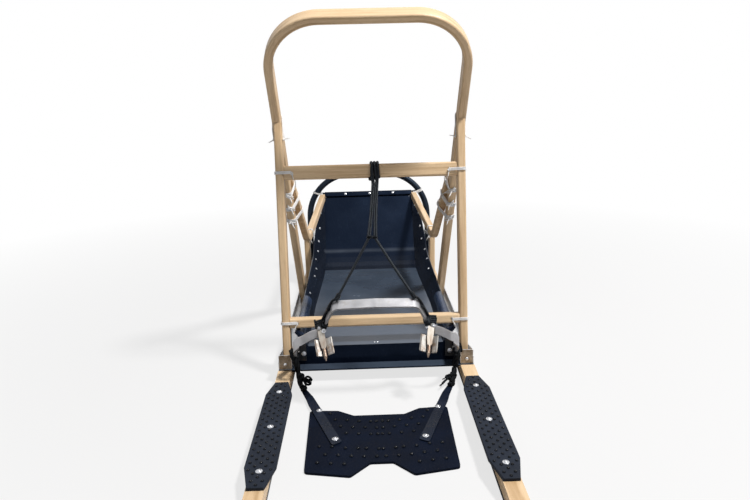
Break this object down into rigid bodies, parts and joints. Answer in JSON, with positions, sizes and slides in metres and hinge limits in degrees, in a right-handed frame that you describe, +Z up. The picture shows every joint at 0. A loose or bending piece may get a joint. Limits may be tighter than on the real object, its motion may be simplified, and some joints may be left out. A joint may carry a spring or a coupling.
{
  "type": "dog sled",
  "caption": "Wooden dog sled with a bent driving bow, moulded cargo bed with raised nose, brush bow, studded footboards, hinged claw brake and trailing snow mat.",
  "frame": {"origin": "middle of the footprint, on the ground under the runners", "axes": "+Y forward along the runners, +X to the driver's right, +Z up"},
  "size_m": [0.5654, 1.66, 0.9643],
  "materials": {
    "ash_wood": "clear varnished pale ash, satin",
    "sole_plastic": "dark slippery runner plastic, fine scuffs along the run",
    "channel_aluminium": "mill-finished extrusion, fine lines along its length",
    "hoop_black": "black tube, satin",
    "bed_plastic": "glossy black-blue moulded sheet",
    "strip_plastic": "glossy dark rubbing strip",
    "tread_rubber": "black studded rubber, matt with dust",
    "bracket_metal": "grey galvanised steel",
    "brake_aluminium": "bent flat bar, lightly brushed",
    "claw_steel": "plated steel, worn at the teeth",
    "tip_steel": "hardened spike, brown with wear",
    "bungee_cord": "black braided elastic cord",
    "tow_rope": "black braided rope"
  },
  "bodies": {
    "frame": {"driving_bow": "ash_wood", "upper_crossbar": "ash_wood", "lower_crossbar": "ash_wood", "rear_crossmember": "ash_wood", "middle_crossmember": "ash_wood", "front_crossmember": "ash_wood", "runner_left": "ash_wood", "runner_right": "ash_wood", "rear_upright_left": "ash_wood", "rear_upright_right": "ash_wood", "side_rail_left": "ash_wood", "side_rail_right": "ash_wood", "front_stanchion_left": "ash_wood", "front_stanchion_right": "ash_wood", "runner_sole_left": "sole_plastic", "runner_sole_right": "sole_plastic", "channel_left": "channel_aluminium", "channel_right": "channel_aluminium", "brush_bow": "hoop_black", "bed": "bed_plastic", "nose_batten": "bed_plastic", "bed_edge_strip_left": "strip_plastic", "bed_edge_strip_right": "strip_plastic", "foot_pad_left": "tread_rubber", "foot_pad_right": "tread_rubber", "brake_hinge_left": "bracket_metal", "brake_hinge_right": "bracket_metal", "brake_pivot_left": "claw_steel", "brake_pivot_right": "claw_steel", "bungee_upper": "bungee_cord", "bungee_fork": "bungee_cord", "mat_rope_upper_left": "tow_rope", "mat_rope_upper_right": "tow_rope"},
    "brake": {"brake_bow": "brake_aluminium", "brake_knots": "bungee_cord", "brake_arm_left": "brake_aluminium", "brake_arm_right": "brake_aluminium", "brake_claw_left": "claw_steel", "brake_claw_right": "claw_steel", "brake_tip_left": "tip_steel", "brake_tip_right": "tip_steel"},
    "mat": {"snow_mat": "tread_rubber", "mat_strap_left": "tread_rubber", "mat_strap_right": "tread_rubber", "mat_rope_lower_left": "tow_rope", "mat_rope_lower_right": "tow_rope"}
  },
  "joints": [
    {"name": "brake_hinge", "type": "hinge", "parent": "frame", "child": "brake", "pos_m": [0, -0.222, 0.082], "axis": [1, 0, 0], "range_deg": [0, 47], "stiffness_Nm_per_rad": 3, "springref_deg": -22.92, "deforming": ["bungee_fork"]},
    {"name": "mat_hinge", "type": "hinge", "parent": "frame", "child": "mat", "pos_m": [0, -0.2445, 0.0355], "axis": [-1, 0, 0], "range_deg": [0, 4]}
  ]
}
